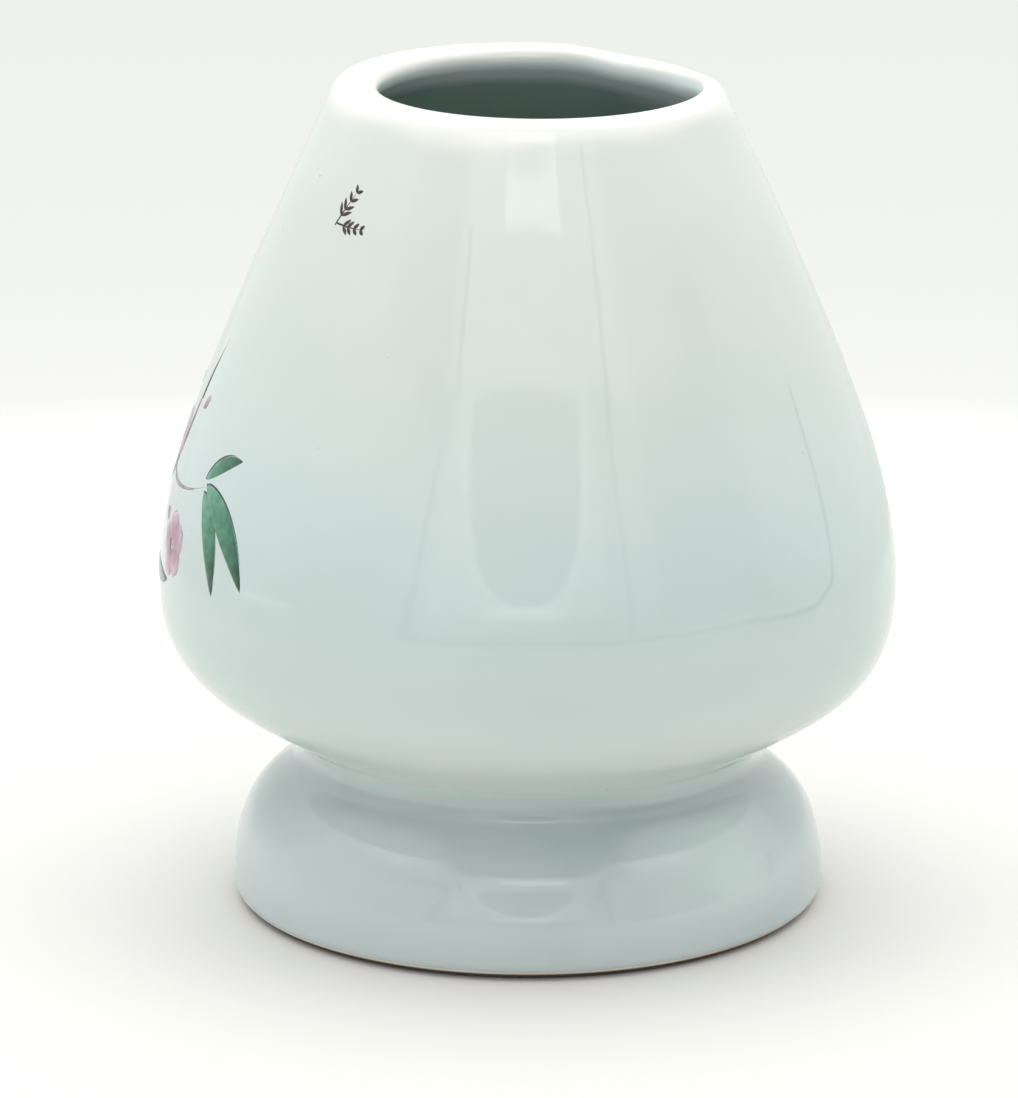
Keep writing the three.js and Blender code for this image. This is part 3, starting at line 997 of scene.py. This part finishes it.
# %% [markdown]
# ## What shows in the glaze
#
# A glossy pot shows the whole room in small. In the front wall of the tent is a slit with a round lower end, through
# which the lens looks, and its dark shape stands in the middle of the bulb. A brighter panel and a lit sill lie round
# it, a small bright patch shows under the lip, and sewn hems make thin lines. Overhead is an opening that darkens the
# top of the foot, and at each side are a lamp above and a darker stretch of cloth below. The front wall is flat, so a
# direction is turned into a place on it by dividing by its distance ahead: across is sideways and up is height, both
# as shares of that distance. The slit widens upwards, so across is first divided by a width that grows with up. A
# place overhead is found in the same way, by dividing by the rise, and marks further round are placed by azimuth, the
# angle from the front towards the right, and height.

# %% Places on the front wall
SLIT_BOTTOM_WIDTH, SLIT_WIDENING = 0.72, 0.68
LEAST_AHEAD = 0.02

ahead = add_node(tree, "Math", [(0, toward["Y"]), (1, -1.0)], operation="MULTIPLY")
in_front = add_node(tree, "Math", [(0, ahead), (1, LEAST_AHEAD)], operation="GREATER_THAN")
reach = add_node(tree, "Math", [(0, ahead), (1, LEAST_AHEAD)], operation="MAXIMUM")
across = add_node(tree, "Math", [(0, toward["X"]), (1, reach)], operation="DIVIDE")
up = add_node(tree, "Math", [(0, toward["Z"]), (1, reach)], operation="DIVIDE")
widened = add_node(tree, "Math", [(0, up), (1, SLIT_WIDENING), (2, SLIT_BOTTOM_WIDTH)], operation="MULTIPLY_ADD")
narrowed = add_node(tree, "Math", [(0, across), (1, widened)], operation="DIVIDE")
on_wall = add_node(tree, "CombineXYZ", [("X", across), ("Y", up)])
on_slit = add_node(tree, "CombineXYZ", [("X", narrowed), ("Y", up)])
azimuth = add_node(tree, "Math", [(0, toward["X"]), (1, ahead)], operation="ARCTAN2")
round_about = add_node(tree, "CombineXYZ", [("X", azimuth), ("Y", toward["Z"])])
rise = add_node(tree, "Math", [(0, toward["Z"]), (1, LEAST_AHEAD)], operation="MAXIMUM")
on_roof = add_node(tree, "VectorMath", [(0, direction), (1, rise)], operation="DIVIDE")
overhead = add_node(tree, "VectorMath", [(0, on_roof), (1, (1.0, 1.0, 0.0))], operation="MULTIPLY")


def from_patch(place, middle, half, round_size):
    """Distance of a place from a rectangle with rounded corners, negative inside it."""
    centred = add_node(tree, "VectorMath", [(0, place), (1, (*middle, 0))], operation="SUBTRACT")
    folded = add_node(tree, "VectorMath", [(0, centred)], operation="ABSOLUTE")
    corner = (half[0] - round_size, half[1] - round_size, 1.0)
    beyond = add_node(tree, "VectorMath", [(0, folded), (1, corner)], operation="SUBTRACT")
    outside = add_node(tree, "VectorMath", [(0, beyond), (1, (0, 0, 0))], operation="MAXIMUM")
    gap = add_node(tree, "VectorMath", [(0, outside)], operation="LENGTH").outputs["Value"]
    return add_node(tree, "Math", [(0, gap), (1, round_size)], operation="SUBTRACT")


def fading(value, near, far, amount, where=None):
    """An amount where a value is below near, fading to none at far, and none outside a given region."""
    fade = add_node(tree, "MapRange", [("Value", value), ("From Min", near), ("From Max", far),
                    ("To Min", amount), ("To Max", 0.0)], interpolation_type="SMOOTHSTEP")
    if where is None:
        return fade
    return add_node(tree, "Math", [(0, fade), (1, where)], operation="MULTIPLY")


# %% [markdown]
# ## Hems
#
# A straight hem, seen from the pot, lies in one plane with the pot, so its distance is the dot product of the
# direction with that plane's normal. A second dot product, with the middle of the hem, ends it at both sides.

# %% Hem helper
HEM_HALF_WIDTH = 0.008
HEM_FADE = 2.2


def direction_at(azimuth, elevation):
    """The direction at an azimuth from the front, to the right, and an elevation, in degrees."""
    a, e = math.radians(azimuth), math.radians(elevation)
    return Vector((math.sin(a) * math.cos(e), -math.cos(a) * math.cos(e), math.sin(e)))


def hem(start, end, amount, width):
    """A thin line of a given amount between two (azimuth, elevation) directions."""
    first, last = direction_at(*start), direction_at(*end)
    normal, middle = first.cross(last).normalized(), (first + last).normalized()
    off, near = (add_node(tree, "VectorMath", [(0, direction), (1, other)],
                          operation="DOT_PRODUCT").outputs["Value"] for other in (normal, middle))
    gap = add_node(tree, "Math", [(0, off)], operation="ABSOLUTE")
    on = add_node(tree, "Math", [(0, near), (1, middle.dot(first))], operation="GREATER_THAN")
    return fading(gap, width, HEM_FADE * width, amount, on)


# %% [markdown]
# ## The marks of this tent
#
# The slit and its lit border follow the widening shape. Every other mark is one row: its middle, its half size, the
# round of its corners, the two distances between which its edge fades, and the light that it adds. A hem is a path of
# (azimuth, elevation) corners, after its strength and its width as shares of a plain hem's. A strength below zero
# makes a bright line.

# %% Slit, patches and hems
SLIT = ((-0.02, 0.61), (0.335, 0.494), 0.3)
SLIT_TOP = 0.583
SLIT_EDGE = 0.012
SLIT_DARK = 0.85
BORDER_WIDTH, BORDER_FADE = 0.05, 0.03
BORDER_GLOW = 0.3
HEM_DARK = -1.1

WALL_MARKS = {
    "panel": ((-0.07, 0.33), (0.52, 0.29), 0.03, (-0.03, 0.03), 0.4),
    "sill": ((-0.02, 0.075), (0.24, 0.032), 0.02, (-0.012, 0.012), 0.7),
    "cloth above": ((0.1, 0.88), (0.78, 0.25), 0.05, (-0.01, 0.02), 0.5),
    "bright patch": ((0.045, 0.874), (0.27, 0.1), 0.03, (-0.006, 0.006), 1.7),
}
ROOF_MARKS = {"opening": ((-0.02, -0.585), (0.5, 0.3), 0.2, (-0.1, 0.1), -1.3)}
SIDE_MARKS = {
    "dark cloth at the left": ((-0.81, 0.51), (0.31, 0.07), 0.02, (-0.01, 0.01), -0.45),
    "dark cloth at the right": ((1.05, 0.19), (0.34, 0.24), 0.05, (-0.02, 0.02), -0.42),
    "lamp at the left": ((-1.3, 0.78), (0.3, 0.1), 0.05, (-0.04, 0.04), 0.6),
    "lamp at the right": ((1.25, 0.74), (0.3, 0.1), 0.05, (-0.04, 0.04), 0.6),
}
HEMS = [
    (1.0, 1.0, [(-30.4, 35.5), (-27.6, 28.4)]),
    (1.5, 1.0, [(-32.6, 26.0), (-38.0, -5.0)]),
    (0.6, 2.5, [(-36.5, 6.0), (-38.0, -5.0)]),
    (1.0, 1.0, [(33.5, 37.0), (30.2, 24.0)]),
    (0.9, 1.0, [(30.2, 24.0), (32.5, -5.0)]),
    (-0.7, 1.0, [(-104.0, -7.0), (-77.0, -4.5)]),
    (1.0, 1.0, [(-41.7, -6.2), (-2.4, -5.9), (37.2, -6.2), (69.5, -6.4), (99.0, -9.0), (108.0, -5.5), (111.0, 10.0)]),
]

below_top = add_node(tree, "Math", [(0, up), (1, SLIT_TOP)], operation="SUBTRACT")
slit = add_node(tree, "Math", [(0, from_patch(on_slit, *SLIT)), (1, below_top)], operation="MAXIMUM")
marks = [fading(slit, -SLIT_EDGE, SLIT_EDGE, -SLIT_DARK - BORDER_GLOW, in_front),
         fading(slit, BORDER_WIDTH, BORDER_WIDTH + BORDER_FADE, BORDER_GLOW, in_front)]
for place, region, rows in [(on_wall, in_front, WALL_MARKS), (overhead, None, ROOF_MARKS),
                            (round_about, None, SIDE_MARKS)]:
    for middle, half, round_size, edge, amount in rows.values():
        marks.append(fading(from_patch(place, middle, half, round_size), *edge, amount, region))
hems = [hem(start, end, strength * HEM_DARK, width * HEM_HALF_WIDTH)
        for strength, width, path in HEMS for start, end in zip(path, path[1:])]
print(len(marks), "marks and", len(hems), "hems")


def total(first, others):
    """The sum of a value and others, never below zero."""
    for other in others:
        first = add_node(tree, "Math", [(0, first), (1, other)], operation="ADD")
    return add_node(tree, "Math", [(0, first), (1, 0.0)], operation="MAXIMUM")


tent = add_node(tree, "Background", [("Color", linear("#fcfdfc")), ("Strength", total(tent_glow, marks + hems))])

# %% [markdown]
# ## Ground and backdrop
#
# Below the level of the pot lies the white ground, which lightens nothing but what faces it. It turns a touch greyer
# towards the far side, where it serves as the pale backdrop, and it ends at the tent a few degrees below level. The
# hems that run that low lie across its edge.

# %% White ground
GROUND_NEAR, GROUND_FAR = -0.256, -0.198
GROUND_EDGE = (-0.112, -0.1)

distance_ramp = add_node(tree, "MapRange", [("Value", toward["Z"]), ("From Min", GROUND_NEAR),
                         ("From Max", GROUND_FAR)])
ground_colour = set_ramp(add_node(tree, "ValToRGB", [("Fac", distance_ramp)]),
                         [(0.0, "#ffffff"), (0.13, "#f8f9f7"), (0.45, "#f2f4f1"), (1.0, "#eef1ec")])
ground = add_node(tree, "Background", [("Color", ground_colour), ("Strength", total(1.0, hems))])
above_ground = add_node(tree, "MapRange", [("Value", toward["Z"]), ("From Min", GROUND_EDGE[0]),
                        ("From Max", GROUND_EDGE[1])], interpolation_type="SMOOTHSTEP")
surroundings = add_node(tree, "MixShader", [(0, above_ground), (1, ground), (2, tent)])
add_node(tree, "OutputWorld", [("Surface", surroundings)])
bpy.context.scene.view_settings.view_transform = "Standard"
